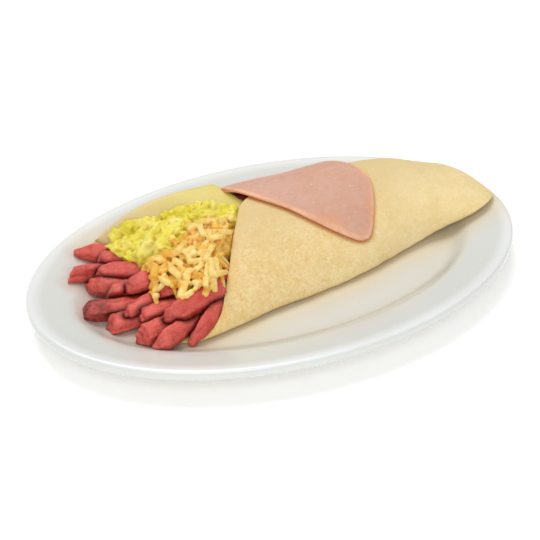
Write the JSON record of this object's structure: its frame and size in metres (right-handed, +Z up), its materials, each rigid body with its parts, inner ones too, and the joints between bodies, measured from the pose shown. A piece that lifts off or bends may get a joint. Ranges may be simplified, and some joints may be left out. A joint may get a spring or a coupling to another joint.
{
  "type": "filled flour tortilla wrap on a plate",
  "caption": "Rolled flour tortilla on an oval rimmed plate, open at one end over sausage strips, guacamole, grated cheese and a cheese slice, with a ham slice laid across the top.",
  "frame": {"origin": "on the table, under the middle of the plate and at the height of its foot ring", "axes": "+X along the plate's long axis towards the wrap's closed end, +Y towards the side where the cheese slice stands, +Z up"},
  "size_m": [0.305, 0.2034, 0.0495],
  "materials": {
    "porcelain": "glazed white porcelain",
    "flour_tortilla": "dry, matte, lightly toasted",
    "cheese_slice": "smooth, softly shining",
    "guacamole": "wet and lumpy",
    "grated_cheese": "moist shreds",
    "ham": "smooth, slightly moist",
    "sausage": "finely grained, slightly moist"
  },
  "bodies": {
    "root": {"plate": "porcelain", "tortilla": "flour_tortilla", "cheese_slice": "cheese_slice", "guacamole": "guacamole", "grated_cheese": "grated_cheese", "ham_slice": "ham", "sausage_01": "sausage", "sausage_02": "sausage", "sausage_03": "sausage", "sausage_04": "sausage", "sausage_05": "sausage", "sausage_06": "sausage", "sausage_07": "sausage", "sausage_08": "sausage", "sausage_09": "sausage", "sausage_10": "sausage", "sausage_11": "sausage", "sausage_12": "sausage", "sausage_13": "sausage", "sausage_14": "sausage", "sausage_15": "sausage", "sausage_16": "sausage", "sausage_17": "sausage"}
  },
  "joints": []
}
